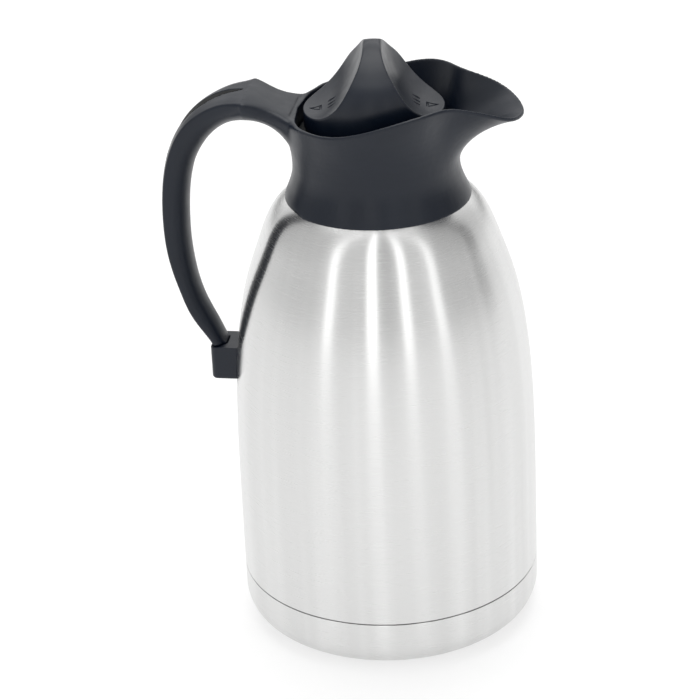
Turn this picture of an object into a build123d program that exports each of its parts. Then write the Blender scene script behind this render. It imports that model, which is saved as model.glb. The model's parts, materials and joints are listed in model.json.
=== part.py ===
from build123d import *
import os
from math import cos, hypot, radians, sin

# Two litre vacuum carafe with a screw stopper, in millimetres.
# Z is the body's axis, +X points to the spout, the handle is on the -X side,
# and the origin is where the axis meets the surface that the carafe stands on.

# ---- body ----
BODY_R = 75.0
STEEL = 0.8
SEAM_Z = 27.6
SEAM_GAP = 0.5
JOGGLE_R = 73.8
SHELL_FOOT_Z = 12.0
# outer shell, from the seam up to the shoulder: radius and height
SHELL_WALL = ((75.0, 45.0), (74.9, 70.0), (74.6, 99.0), (73.4, 130.0), (70.6, 158.0), (65.8, 182.0),
              (58.7, 203.0), (45.5, 225.0))
SHELL_SHOULDER = ((38.8, 229.6), (36.6, 236.0))
NECK_R = 36.6
NECK_TOP_Z = 254.2
# inner flask, from the bottom corner up to the neck: radius and height
FLASK_WALL = ((68.0, 45.0), (67.6, 99.0), (66.3, 130.0), (63.4, 158.0), (58.5, 182.0), (51.2, 203.0),
              (38.5, 224.0))
FLASK_NECK_R = 33.5
FLASK_NECK_Z = 234.0
FLASK_FOOT_Z = 20.0
FLASK_CORNER = 14.0
# the flask's two welds: cup to shoulder, shoulder to neck
FLASK_WELDS = (150.0, 206.0)

# ---- base ----
BASE_CORNER = 14.0
BASE_RIM_Z = 1.2
PAD_R = 57.0
PAD_H = 4.0
PAD_ROUND = 1.0
PAD_GAP = 0.4
PAD_SLANT = 0.6
PAD_GROOVES = (22.0, 34.0, 46.0)
GROOVE_WIDE = 2.0
GROOVE_DEEP = 0.8
VACUUM_PLATE_Z = 15.5
DIMPLE_R = 9.0
DIMPLE_DEPTH = 2.5
TIP_R = 4.0
TIP_H = 1.8
GETTER_AT = 30.0
GETTER_R = 5.0
GETTER_H = 1.6

# ---- collar ----
COLLAR_FOOT = (45.3, 225.55)
COLLAR_FLARE = (1.6, 4.2)
COLLAR_RISE = 9.6
COLLAR_WAIST = (40.2, 242.5)
COLLAR_BORE_R = 37.8
COLLAR_BORE_FOOT_Z = 231.9
COLLAR_BORE_TOP_Z = 254.8
LIP_ROUND = 0.65
# how far the wall keeps the lip's slope, and how far it climbs straight from the waist and from the bore
LIP_REACH = 0.38
WAIST_CLIMB = 0.45
BORE_CLIMB = 0.09
LEDGE_R = 33.9
LEDGE_ROOT = 0.8
LEDGE_Z = 255.6
LEDGE_H = 1.6
# lip stations: angle from the spout, outer radius, height, wall slope, lip width
LIP = ((0, 71.4, 267.0, 12, 1.9), (6, 70.6, 267.4, 12, 1.9), (12, 68.8, 268.7, 14, 1.9),
       (18, 65.0, 271.6, 20, 1.9), (23, 60.2, 274.4, 31, 1.9), (28, 54.9, 276.7, 44, 1.9),
       (33, 50.8, 278.3, 56, 1.9), (40, 48.6, 279.2, 65, 1.9), (50, 48.8, 279.4, 70, 1.9),
       (62, 49.2, 278.6, 71, 1.9), (75, 48.5, 276.3, 71, 1.9), (90, 47.4, 272.9, 71, 1.9),
       (108, 46.6, 270.0, 72, 1.9), (126, 45.4, 269.2, 74, 2.0), (138, 44.4, 268.8, 78, 2.6),
       (150, 43.6, 268.5, 84, 3.7), (165, 43.6, 268.6, 90, 6.4), (180, 43.8, 268.8, 90, 7.0))

# ---- handle ----
# tongue stations from the collar to the thumb ridge: x, edge height, underside height, half width
TONGUE = ((-39.0, 269.4, 250.2, 21.0), (-44.0, 270.9, 256.2, 17.8), (-48.0, 272.2, 259.8, 17.2),
          (-52.0, 273.7, 262.1, 17.7), (-56.0, 275.2, 263.4, 18.5))
# grip stations from the thumb ridge down: crown x, crown z, inside x, inside z, half width
GRIP = ((-60.4, 278.2, -60.8, 263.8, 19.3), (-69.4, 276.8, -66.6, 262.9, 15.9),
        (-77.1, 274.2, -72.4, 260.7, 14.7), (-84.5, 270.0, -77.4, 257.2, 14.0),
        (-90.9, 264.6, -81.7, 252.8, 13.6), (-96.1, 257.7, -85.5, 247.4, 13.2),
        (-100.2, 249.2, -88.6, 241.3, 12.8), (-103.2, 239.4, -90.8, 234.0, 12.5),
        (-105.3, 226.1, -92.6, 223.7, 12.3), (-106.0, 212.0, -93.5, 211.6, 12.1),
        (-105.4, 198.0, -93.6, 199.6, 11.8), (-103.2, 185.0, -92.7, 187.7, 11.4),
        (-100.0, 173.0, -90.7, 176.0, 10.8), (-96.2, 162.0, -87.3, 165.4, 10.3),
        (-91.2, 153.2, -83.2, 156.4, 9.8), (-87.2, 146.9, -80.2, 149.3, 9.3),
        (-82.9, 139.5, -76.0, 141.6, 8.9))
CROWN = 1.7
CROWN_LIFT = 0.1
EDGE_ROUND = 1.3
# fullness of a section's cheeks and of its inner side
CHEEK = 0.52
BELLY = 0.66
INLAY_DEPTH = 1.7
INLAY_RECESS = 0.5
INLAY_FIT = 0.1
# the inlay's pointed start, then its half width at grip stations 1 to 14
INLAY_START = ((-63.0, 278.1), (-62.8, 263.9))
INLAY_HALF = (0.5, 2.2, 3.7, 4.8, 5.5, 5.9, 6.1, 6.2, 6.2, 6.1, 5.9, 5.6, 5.2, 4.8, 4.2)

# ---- lower bracket ----
BRACKET_TOP_Z = 144.5
BRACKET_FOOT_Z = 127.0
BRACKET_X = -85.8
BRACKET_HALF = 10.0
BRACKET_WALL = 1.9
BRACKET_ROUND = 3.0
SOCKET_X = -78.2
SOCKET_FOOT_Z = 131.0
PEG_HALF = 4.5
PEG_FIT = 0.25
SCREW_Z = 137.0
BOSS_R = 3.4
BOSS_FIT = 0.2
BOSS_SKIN = 1.0
BOSS_X = -75.2
WEB_X = -76.6
M3_R = 1.5
HEAD_R = 3.0
HEAD_H = 1.6
HEAD_ROUND = 0.7
CROSS_ARM = 3.4
CROSS_WIDE = 0.9
CROSS_DEEP = 1.0
CLEAR = 0.3
PAST = 1.0

# ---- neck ring and its thread ----
RING_BORE_R = 30.0
RING_SLEEVE_R = 32.6
RING_FLANGE_R = 36.4
RING_FLANGE_H = 1.6
RING_FOOT_Z = 236.0
SEAT_R = 25.5
SEAT_H = 2.0
LEAD = 12.0
STARTS = 2
RIB_DEPTH = 1.6
RIB_HALF = 1.15
RIB_TAPER = 0.35
RING_RIB_Z = 242.6
RING_RIB_RISE = 10.0

# ---- stopper ----
CORE_R = 27.9
CORE_WALL = 3.4
CORE_FOOT_Z = 244.0
CORE_DECK_Z = 257.5
FLANGE_Z = 260.0
FLANGE_R = 32.8
FLANGE_H = 2.6
CORE_RIB_Z = 245.9
CORE_RIB_RISE = 5.6
CHANNEL_HALF = 8.0
CHANNEL_R = 25.8
O_RING_R = 31.2
O_RING_WIRE = 1.4
O_RING_Z = 260.5
CAP_R = 27.0
CAP_FLANGE_Z = 242.35
CAP_PLUG_TOP_Z = 246.6
PIVOT_R = 5.0
PIVOT_FIT = 0.05
PIVOT_FOOT_Z = 236.3
SEAL_GAP = 0.3
GASKET_Z = 238.05
GASKET_H = 2.0
GASKET_R = 27.6
GASKET_BORE_R = 22.0
HUB_FLANGE_R = 24.0
RETAINER_R = 8.0
RETAINER_H = 1.4
SCREW_RING_R = 18.0
SCREW_COUNT = 3
POST_R = 3.6
POST_HOLE_Z = FLANGE_Z + 7.5

# ---- stopper grip ----
GRIP_TOP_Z = 301.9
GRIP_FOOT_Z = FLANGE_Z + FLANGE_H
GRIP_WALL = 2.4
# turn of the tightened stopper: its lobes stop a little past the spout's centre line
STOPPER_TURN = 7.5
# the drum and its domed top: radius and height, from the skirt towards the crown
DOME = ((33.7, 264.0), (33.7, 272.0), (33.5, 279.5), (31.1, 285.8), (25.4, 291.1), (18.9, 295.8),
        (11.2, 299.7))
# each scoop is a saddle: x and height of its four poles at the middle and at a distance to either side
SCOOP_MIDDLE = ((3.4, 303.0), (3.9, 287.6), (19.3, 260.9), (37.0, 272.4))
SCOOP_SIDE = ((2.7, 303.0), (7.1, 300.0), (14.0, 262.8), (37.0, 275.1))
SCOOP_SIDE_Y = 24.0
SCOOP_END_Y = 42.0
SCOOP_SINK = 0.75
MARK_DEPTH = 0.4
MARK_X = 27.0
MARK_R = 3.2
MARK_LINE = 0.8
# three drops in a row behind each triangle
DROP_X = 20.7
DROP_R = 1.2
DROP_TIP = 2.6
DROP_STEP = 4.4
BIG = 200.0


def at(radius, height, angle=0.0):
    """Point at a radius and height in the upright plane that stands at an angle from the spout."""
    turn = radians(angle)
    return Vector(radius * cos(turn), radius * sin(turn), height)


def chain(*stops):
    """Straight edges through radius and height pairs."""
    return [Line(at(*a), at(*b)) for a, b in zip(stops[:-1], stops[1:])]


def round_corner(first, last, centre):
    """Arc in the XZ plane between two radius and height pairs about a centre."""
    a, b, c = at(*first), at(*last), at(*centre)
    middle = c + ((a - c) + (b - c)).normalized() * (a - c).length
    return ThreePointArc(a, middle, b)


def turned(edges):
    """Solid of revolution about Z of a closed outline in the XZ plane."""
    return revolve(make_face(edges), Axis.Z)


def ring(inner, outer, foot, top):
    """Plain ring about Z, or a disc where the inner radius is 0."""
    return turned(chain((inner, foot), (outer, foot), (outer, top), (inner, top), (inner, foot)))


def rod(radius, start, end):
    """Cylinder between two points."""
    first, last = Vector(*start), Vector(*end)
    shape = Cylinder(radius, (last - first).length, align=(Align.CENTER, Align.CENTER, Align.MIN))
    return Plane(origin=first, z_dir=last - first) * shape


def block(low, high):
    """Box between two corners."""
    size = [b - a for a, b in zip(low, high)]
    middle = [(a + b) / 2 for a, b in zip(low, high)]
    return Pos(*middle) * Box(*size)


def inset(stops, thickness):
    """The same curve moved towards the axis by a sheet's thickness."""
    moved = []
    for i, (radius, height) in enumerate(stops):
        before = stops[max(i - 1, 0)]
        after = stops[min(i + 1, len(stops) - 1)]
        run, rise = after[0] - before[0], after[1] - before[1]
        span = hypot(run, rise)
        moved.append((radius - thickness * rise / span, height + thickness * run / span))
    return moved


# ---------------------------------------------------------------- body

def shell_stops():
    return [(BODY_R, SEAM_Z + SEAM_GAP), *SHELL_WALL, *SHELL_SHOULDER]


def outer_shell():
    """Body wall, necked in at the top and stepped in at the foot for the base cup."""
    outer, inner = shell_stops(), inset(shell_stops(), STEEL)
    wall_out = Spline(*[at(*stop) for stop in outer], tangents=((0, 0, 1), (0, 0, 1)))
    wall_in = Spline(*[at(*stop) for stop in inner], tangents=((0, 0, 1), (0, 0, 1)))
    step = SEAM_Z + SEAM_GAP
    inner_r = JOGGLE_R - STEEL
    outline = chain((inner_r, SHELL_FOOT_Z), (JOGGLE_R, SHELL_FOOT_Z), (JOGGLE_R, step), outer[0])
    outline += [wall_out]
    outline += chain(outer[-1], (NECK_R, NECK_TOP_Z), (NECK_R - STEEL, NECK_TOP_Z), inner[-1])
    outline += [wall_in]
    outline += chain(inner[0], (inner[0][0], step + STEEL), (inner_r, step + STEEL), (inner_r, SHELL_FOOT_Z))
    return turned(outline)


def body_envelope():
    """Everything inside the outer shell's outer face, to fit other parts against it."""
    outer = shell_stops()
    wall = Spline(*[at(*stop) for stop in outer], tangents=((0, 0, 1), (0, 0, 1)))
    return turned([wall] + chain(outer[-1], (0, outer[-1][1]), (0, outer[0][1]), outer[0]))


def flask():
    """Whole flask that holds the drink, with a flange that is welded on the shell's neck."""
    stops = list(FLASK_WALL) + [(FLASK_NECK_R, FLASK_NECK_Z)]
    inner = inset(stops, STEEL)
    wall_out = Spline(*[at(*stop) for stop in stops], tangents=((0, 0, 1), (0, 0, 1)))
    wall_in = Spline(*[at(*stop) for stop in inner], tangents=((0, 0, 1), (0, 0, 1)))
    belly = FLASK_WALL[0][0]
    foot_r = belly - FLASK_CORNER
    corner_z = FLASK_FOOT_Z + FLASK_CORNER
    neck_in = FLASK_NECK_R - STEEL
    outline = chain((0, FLASK_FOOT_Z + STEEL), (0, FLASK_FOOT_Z), (foot_r, FLASK_FOOT_Z))
    outline += [round_corner((foot_r, FLASK_FOOT_Z), (belly, corner_z), (foot_r, corner_z))]
    outline += chain((belly, corner_z), stops[0])
    outline += [wall_out]
    outline += chain(stops[-1], (FLASK_NECK_R, NECK_TOP_Z), (NECK_R, NECK_TOP_Z),
                     (NECK_R, NECK_TOP_Z + STEEL), (neck_in, NECK_TOP_Z + STEEL), inner[-1])
    outline += [wall_in]
    outline += chain(inner[0], (belly - STEEL, corner_z))
    outline += [round_corner((belly - STEEL, corner_z), (foot_r, FLASK_FOOT_Z + STEEL), (foot_r, corner_z))]
    outline += chain((foot_r, FLASK_FOOT_Z + STEEL), (0, FLASK_FOOT_Z + STEEL))
    return turned(outline)


def flask_between(low, high):
    return flask() & block((-BIG, -BIG, low), (BIG, BIG, high))


def flask_cup():
    """Bottom and straight wall of the flask."""
    return flask_between(0, FLASK_WELDS[0])


def flask_shoulder():
    """Tapered wall, welded on the cup and under the neck."""
    return flask_between(*FLASK_WELDS)


def flask_neck():
    """Neck with the flange on which the gasket lies."""
    return flask_between(FLASK_WELDS[1], 2 * BIG)


def vacuum_plate():
    """Pressed steel disc that closes the vacuum space, with a dimple and a pumping hole."""
    rim_r = JOGGLE_R - STEEL
    low, high = VACUUM_PLATE_Z, VACUUM_PLATE_Z + STEEL
    dimple_low = low - DIMPLE_DEPTH
    outline = chain((TIP_R / 2, dimple_low), (DIMPLE_R, dimple_low), (DIMPLE_R + DIMPLE_DEPTH, low),
                    (rim_r - STEEL, low), (rim_r - STEEL, SHELL_FOOT_Z), (rim_r, SHELL_FOOT_Z),
                    (rim_r, high), (DIMPLE_R + DIMPLE_DEPTH - STEEL, high),
                    (DIMPLE_R - STEEL / 2, dimple_low + STEEL), (TIP_R / 2, dimple_low + STEEL),
                    (TIP_R / 2, dimple_low))
    return turned(outline)


def vacuum_seal():
    """Bead of sealing metal over the pumping hole."""
    top = VACUUM_PLATE_Z - DIMPLE_DEPTH
    bead = ring(0, TIP_R, top - TIP_H, top)
    plug = ring(0, TIP_R / 2, top - TIP_H, top + STEEL)
    edge = bead.edges().filter_by(GeomType.CIRCLE).sort_by(Axis.Z)[0]
    return fillet(edge, TIP_H / 2) + plug


def getter():
    """Gas absorbing pellet fixed on the vacuum side of the plate."""
    foot = VACUUM_PLATE_Z + STEEL
    return Pos(GETTER_AT, 0, 0) * ring(0, GETTER_R, foot, foot + GETTER_H)


def base_cup():
    """Pressed steel cup over the body's foot, its edge a groove's width below the shell."""
    outer_r, inner_r = BODY_R, BODY_R - STEEL
    foot_r = outer_r - BASE_CORNER
    panel = PAD_H
    edge_r = PAD_R + PAD_GAP
    outline = chain((0, panel), (edge_r, panel), (edge_r + PAD_SLANT, BASE_RIM_Z), (foot_r, BASE_RIM_Z))
    bend_z = BASE_RIM_Z + BASE_CORNER
    outline += [round_corner((foot_r, BASE_RIM_Z), (outer_r, bend_z), (foot_r, bend_z))]
    outline += chain((outer_r, bend_z), (outer_r, SEAM_Z - SEAM_GAP / 2), (outer_r - SEAM_GAP / 2, SEAM_Z),
                     (inner_r, SEAM_Z), (inner_r, bend_z))
    outline += [round_corner((inner_r, bend_z), (foot_r, BASE_RIM_Z + STEEL), (foot_r, bend_z))]
    outline += chain((foot_r, BASE_RIM_Z + STEEL), (edge_r + 2 * PAD_SLANT, BASE_RIM_Z + STEEL),
                     (edge_r + PAD_SLANT, panel + STEEL), (0, panel + STEEL), (0, panel))
    return turned(outline)


def foot_pad():
    """Soft disc under the base, flat on the table, with shallow rings."""
    pad = ring(0, PAD_R, 0, PAD_H)
    edge = pad.edges().filter_by(GeomType.CIRCLE).sort_by(Axis.Z)[0]
    pad = fillet(edge, PAD_ROUND)
    for radius in PAD_GROOVES:
        pad -= ring(radius, radius + GROOVE_WIDE, 0, GROOVE_DEEP)
    return pad


# ---------------------------------------------------------------- collar and handle

def lip_section(angle, lip_r, lip_z, slope, width):
    """Closed wall outline of the collar in the upright plane at an angle from the spout."""
    rise, run = sin(radians(slope)), cos(radians(slope))
    outer = (lip_r, lip_z)
    inner = (lip_r - width * rise, lip_z + width * run)
    foot_r, foot_z = COLLAR_FOOT
    waist_r, waist_z = COLLAR_WAIST
    flare_r, flare_z = COLLAR_FLARE
    reach = LIP_REACH * hypot(lip_r - waist_r, lip_z - waist_z)
    climb = lip_z - waist_z

    def back(corner, distance):
        return (corner[0] - distance * run, corner[1] - distance * rise)

    def over(corner, distance):
        return (corner[0] - distance * rise, corner[1] + distance * run)

    def point(pair):
        return at(pair[0], pair[1], angle)

    outer_end, outer_top = back(outer, LIP_ROUND), over(outer, LIP_ROUND)
    inner_end, inner_top = back(inner, LIP_ROUND), over(inner, -LIP_ROUND)
    bore_top, bore_foot = (COLLAR_BORE_R, COLLAR_BORE_TOP_Z), (COLLAR_BORE_R, COLLAR_BORE_FOOT_Z)
    curves = (
        (bore_foot, COLLAR_FOOT),
        (COLLAR_FOOT, (foot_r - flare_r, foot_z + flare_z), (waist_r, foot_z + COLLAR_RISE), COLLAR_WAIST),
        (COLLAR_WAIST, (waist_r, waist_z + WAIST_CLIMB * climb), back(outer, reach), outer_end),
        (outer_end, outer, outer_top),
        (outer_top, inner_top),
        (inner_top, inner, inner_end),
        (inner_end, back(inner, reach), (COLLAR_BORE_R, COLLAR_BORE_TOP_Z + BORE_CLIMB * climb), bore_top),
        (bore_top, bore_foot),
    )
    edges = [Line(*map(point, c)) if len(c) == 2 else Bezier(*map(point, c)) for c in curves]
    return Wire(edges)


def collar_wall():
    """Half of the collar's wall lofted round the axis, then mirrored onto the other side."""
    before = [(-angle, *rest) for angle, *rest in LIP[2:0:-1]]
    after = [(360 - angle, *rest) for angle, *rest in LIP[-2:-4:-1]]
    stations = before + list(LIP) + after
    wall = Solid.make_loft([lip_section(*station) for station in stations])
    half = wall & block((-BIG, 0, 0), (BIG, BIG, 2 * BIG))
    return half + half.mirror(Plane.XZ)


def bar_section(crown, inside, half, bulge):
    """Closed section of the tongue or grip: crowned back, rounded edges and a round inner side."""
    crown, inside = Vector(crown[0], 0, crown[1]), Vector(inside[0], 0, inside[1])
    out = (crown - inside).normalized()
    deep = (crown - inside).length

    def point(side, depth):
        return inside + out * depth + Vector(0, side, 0)

    edge = deep - bulge
    flat, shoulder = half - EDGE_ROUND, edge + CROWN_LIFT
    drop = edge - EDGE_ROUND
    top = deep + bulge * CROWN_LIFT
    cheek, belly = drop * CHEEK, half * BELLY
    edges = [
        Bezier(point(-flat, shoulder), point(-flat / 2, top), point(flat / 2, top), point(flat, shoulder)),
        Bezier(point(flat, shoulder), point(half, edge), point(half, drop)),
        Bezier(point(half, drop), point(half, cheek), point(belly, 0), point(0, 0)),
        Bezier(point(0, 0), point(-belly, 0), point(-half, cheek), point(-half, drop)),
        Bezier(point(-half, drop), point(-half, edge), point(-flat, shoulder)),
    ]
    return Wire(edges)


def tongue():
    """Thumb tongue from the collar's rim back to the thumb ridge."""
    sections = []
    for i, (x, edge_z, under_z, half) in enumerate(TONGUE):
        bulge = CROWN * i / len(TONGUE)
        sections.append(bar_section((x, edge_z + bulge), (x, under_z), half, bulge))
    sections.append(grip_section(GRIP[0]))
    return Solid.make_loft(sections)


def grip_section(station):
    crown_x, crown_z, inside_x, inside_z, half = station
    return bar_section((crown_x, crown_z), (inside_x, inside_z), half, CROWN)


def grip_bar():
    """Grip down to the bracket, where it ends flat just above the bracket's top."""
    bar = Solid.make_loft([grip_section(station) for station in GRIP])
    return bar - block((-BIG, -BIG, 0), (0, BIG, BRACKET_TOP_Z + CLEAR))


def inlay_solid(top, bottom, fit):
    """Strip along the grip's back between two depths under its crown."""
    sections = []
    stations = [(*INLAY_START[0], *INLAY_START[1])] + [station[:4] for station in GRIP[1:]]
    for station, half in zip(stations, INLAY_HALF):
        crown, inside = Vector(station[0], 0, station[1]), Vector(station[2], 0, station[3])
        out = (crown - inside).normalized()
        wide = Vector(0, half - fit, 0)
        high, low = crown + out * top, crown + out * bottom
        corners = (low - wide, low + wide, high + wide, high - wide)
        sections.append(Wire([Line(a, b) for a, b in zip(corners, corners[1:] + corners[:1])]))
    return Solid.make_loft(sections)


def peg():
    """Tail of the handle that drops into the bracket's socket."""
    low = (BRACKET_X + BRACKET_WALL + PEG_FIT, -PEG_HALF, SOCKET_FOOT_Z + PEG_FIT)
    high = (SOCKET_X - PEG_FIT, PEG_HALF, BRACKET_TOP_Z + 2 * CLEAR)
    return block(low, high)


def screw_axis_x():
    return (BRACKET_X + BRACKET_WALL + SOCKET_X) / 2


def pour_collar():
    """One moulding: collar, spout, thumb tongue, grip and the peg at its lower end."""
    ledge = ring(LEDGE_R, COLLAR_BORE_R + LEDGE_ROOT, LEDGE_Z, LEDGE_Z + LEDGE_H)
    collar = collar_wall() + tongue() + grip_bar() + ledge + peg()
    collar -= inlay_solid(2 * CROWN, -INLAY_DEPTH, 0.0)
    x = screw_axis_x()
    collar -= rod(M3_R, (x, 0, SOCKET_FOOT_Z - PAST), (x, 0, BRACKET_TOP_Z))
    return collar


def handle_inlay():
    """Soft strip set in the grip's back, its face a little below the edges."""
    return inlay_solid(-INLAY_RECESS, INLAY_FIT - INLAY_DEPTH, INLAY_FIT)


# ---------------------------------------------------------------- lower bracket

def lower_bracket():
    """Block on the body that takes the handle's lower end."""
    shape = block((BRACKET_X, -BRACKET_HALF, BRACKET_FOOT_Z), (-BODY_R / 2, BRACKET_HALF, BRACKET_TOP_Z))
    corners = shape.edges().filter_by(Axis.Z).group_by(Axis.X)[0]
    shape = fillet(corners, BRACKET_ROUND)
    foot = shape.edges().group_by(Axis.Z)[0].sort_by(Axis.X)[:3]
    shape = fillet(foot, BRACKET_ROUND / 2)
    shape -= body_envelope()
    wide = PEG_HALF + PEG_FIT
    shape -= block((BRACKET_X + BRACKET_WALL, -wide, SOCKET_FOOT_Z), (SOCKET_X, wide, BRACKET_TOP_Z + PAST))
    shape -= rod(BOSS_R + BOSS_FIT, (-BODY_R / 2, 0, SCREW_Z), (BOSS_X - BOSS_FIT / 2, 0, SCREW_Z))
    shape -= rod(M3_R, (BOSS_X, 0, SCREW_Z), (SOCKET_X, 0, SCREW_Z))
    shape -= rod(HEAD_R + CLEAR, (WEB_X, 0, SCREW_Z), (SOCKET_X - PAST, 0, SCREW_Z))
    x = screw_axis_x()
    shape -= rod(M3_R, (x, 0, BRACKET_FOOT_Z - PAST), (x, 0, SOCKET_FOOT_Z + PAST))
    head_top = BRACKET_FOOT_Z + HEAD_H + CLEAR
    return shape - rod(HEAD_R + CLEAR, (x, 0, BRACKET_FOOT_Z - PAST), (x, 0, head_top))


def bracket_boss():
    """Threaded boss welded on the shell."""
    boss = rod(BOSS_R, (-BODY_R / 2, 0, SCREW_Z), (BOSS_X, 0, SCREW_Z)) - body_envelope()
    return boss - rod(M3_R, (-BODY_R / 2, 0, SCREW_Z), (BOSS_X - BOSS_SKIN, 0, SCREW_Z))


def pan_screw(start, end):
    """Screw whose head sits at the start and whose shank runs to the end, with a cross recess."""
    first, last = Vector(*start), Vector(*end)
    out = (first - last).normalized()
    head = rod(HEAD_R, start, tuple(first + out * HEAD_H))
    rim = head.edges().filter_by(GeomType.CIRCLE).sort_by(lambda e: (e.center() - last).length)[-1]
    head = fillet(rim, HEAD_ROUND)
    screw = head + rod(M3_R, start, end)
    recess = Plane(origin=first + out * HEAD_H, z_dir=-out)
    for width, length in ((CROSS_WIDE, CROSS_ARM), (CROSS_ARM, CROSS_WIDE)):
        screw -= recess * Box(width, length, 2 * CROSS_DEEP)
    return screw


def bracket_screw():
    return pan_screw((WEB_X, 0, SCREW_Z), (BOSS_X + 1.8, 0, SCREW_Z))


def handle_screw():
    x = screw_axis_x()
    return pan_screw((x, 0, BRACKET_FOOT_Z + HEAD_H + CLEAR), (x, 0, BRACKET_TOP_Z - 2 * PAST))


# ---------------------------------------------------------------- neck

def rib(radius, depth, foot_z, rise, start_angle):
    """One start of the thread: a tapered rib swept up a helix, growing inwards or outwards by its depth."""
    helix = Helix(LEAD, rise, radius)
    root = -0.3 if depth > 0 else 0.3
    section = Plane(origin=helix @ 0, x_dir=(1, 0, 0), z_dir=helix % 0)
    crest = RIB_HALF - RIB_TAPER
    outline = ((root, -RIB_HALF), (depth, -crest), (depth, crest), (root, RIB_HALF))
    face = make_face(section * Polyline(*outline, close=True))
    swept = sweep(face, path=helix, is_frenet=True)
    return Pos(0, 0, foot_z) * Rot(0, 0, start_angle) * swept


def neck_gasket():
    return ring(FLASK_NECK_R - STEEL + 0.2, NECK_R, NECK_TOP_Z + STEEL, LEDGE_Z)


def neck_ring():
    """Threaded sleeve in the flask's neck, with a seat for the seal at its foot."""
    flange_z = LEDGE_Z + LEDGE_H
    top = flange_z + RING_FLANGE_H
    ring_body = turned(chain((SEAT_R, RING_FOOT_Z), (RING_SLEEVE_R, RING_FOOT_Z), (RING_SLEEVE_R, flange_z),
                             (RING_FLANGE_R, flange_z), (RING_FLANGE_R, top), (RING_BORE_R, top),
                             (RING_BORE_R, RING_FOOT_Z + SEAT_H), (SEAT_R, RING_FOOT_Z + SEAT_H),
                             (SEAT_R, RING_FOOT_Z)))
    for start in range(STARTS):
        ring_body += rib(RING_BORE_R, -RIB_DEPTH, RING_RIB_Z, RING_RIB_RISE, 360 / STARTS * start)
    return ring_body


# ---------------------------------------------------------------- stopper

def core_rib_angle():
    """Turn that puts the stopper's rib midway between the ring's two ribs, at its own height."""
    middle = LEAD / STARTS / 2
    return 360 * (CORE_RIB_Z - RING_RIB_Z - middle) / LEAD


def stopper_core():
    """Cup with the outer thread, two pouring channels and the flange that carries the grip."""
    flange_top = FLANGE_Z + FLANGE_H
    inner_r = CORE_R - CORE_WALL
    core = turned(chain((inner_r, CORE_FOOT_Z), (CORE_R, CORE_FOOT_Z), (CORE_R, FLANGE_Z),
                        (FLANGE_R, FLANGE_Z), (FLANGE_R, flange_top), (0, flange_top), (0, CORE_DECK_Z),
                        (inner_r, CORE_DECK_Z), (inner_r, CORE_FOOT_Z)))
    for start in range(STARTS):
        core += rib(CORE_R, RIB_DEPTH, CORE_RIB_Z, CORE_RIB_RISE, core_rib_angle() + 360 / STARTS * start)
    turn = Rot(0, 0, STOPPER_TURN)
    for side in (-1, 1):
        near, far = sorted((side * CHANNEL_R, side * (FLANGE_R + 1)))
        core -= turn * block((near, -CHANNEL_HALF, CORE_FOOT_Z), (far, CHANNEL_HALF, FLANGE_Z))
    core -= Pos(0, 0, O_RING_Z) * Torus(O_RING_R, O_RING_WIRE)
    for x, y in screw_places():
        core -= rod(M3_R, (x, y, CORE_DECK_Z - 1), (x, y, flange_top + 1))
    return core


def screw_places():
    """Centres of the screws that hold the grip, evenly spaced and clear of the scoops' low ends."""
    angles = [radians(90 + STOPPER_TURN + 360 / SCREW_COUNT * i) for i in range(SCREW_COUNT)]
    return [(SCREW_RING_R * cos(angle), SCREW_RING_R * sin(angle)) for angle in angles]


def stopper_o_ring():
    return Pos(0, 0, O_RING_Z) * Torus(O_RING_R, O_RING_WIRE)


def stopper_screws():
    return [pan_screw((x, y, CORE_DECK_Z), (x, y, POST_HOLE_Z - 0.5)) for x, y in screw_places()]


def stopper_foam():
    """Insulating puck in the core."""
    return ring(0, CORE_R - CORE_WALL - 0.2, CAP_PLUG_TOP_Z + 0.1, CORE_DECK_Z - HEAD_H - 0.3)


def stopper_cap():
    """Plug that closes the core, with the pivot for the seal disc."""
    plug_r = CORE_R - CORE_WALL
    cap = turned(chain((0, PIVOT_FOOT_Z), (PIVOT_R, PIVOT_FOOT_Z), (PIVOT_R, CAP_FLANGE_Z),
                       (CAP_R, CAP_FLANGE_Z), (CAP_R, CORE_FOOT_Z), (plug_r, CORE_FOOT_Z),
                       (plug_r, CAP_PLUG_TOP_Z), (0, CAP_PLUG_TOP_Z), (0, PIVOT_FOOT_Z)))
    return cap - ring(0, M3_R, PIVOT_FOOT_Z, CAP_FLANGE_Z)


def seal_retainer():
    """Broad screw that keeps the seal disc on its pivot."""
    foot = PIVOT_FOOT_Z - RETAINER_H
    head = ring(0, RETAINER_R, foot, PIVOT_FOOT_Z)
    head = fillet(head.edges().filter_by(GeomType.CIRCLE).sort_by(Axis.Z)[0], 0.6)
    screw = head + ring(0, M3_R, PIVOT_FOOT_Z, CAP_FLANGE_Z)
    return screw - block((-5.0, -0.6, foot), (5.0, 0.6, foot + 0.6))


def seal_disc():
    """Disc that presses the gasket down and stays still while the stopper turns on it."""
    top = CAP_FLANGE_Z - SEAL_GAP
    shelf = GASKET_Z + GASKET_H
    bore = PIVOT_R + PIVOT_FIT
    foot = PIVOT_FOOT_Z + SEAL_GAP
    return turned(chain((bore, foot), (HUB_FLANGE_R, foot), (HUB_FLANGE_R, GASKET_Z),
                        (GASKET_BORE_R, GASKET_Z), (GASKET_BORE_R, shelf), (CAP_R, shelf), (CAP_R, top),
                        (bore, top), (bore, foot)))


def seal_gasket():
    gasket = ring(GASKET_BORE_R, GASKET_R, GASKET_Z, GASKET_Z + GASKET_H)
    rim = gasket.edges().filter_by(GeomType.CIRCLE).sort_by(lambda e: -e.radius)[:2]
    return fillet(rim, 0.5)


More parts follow.
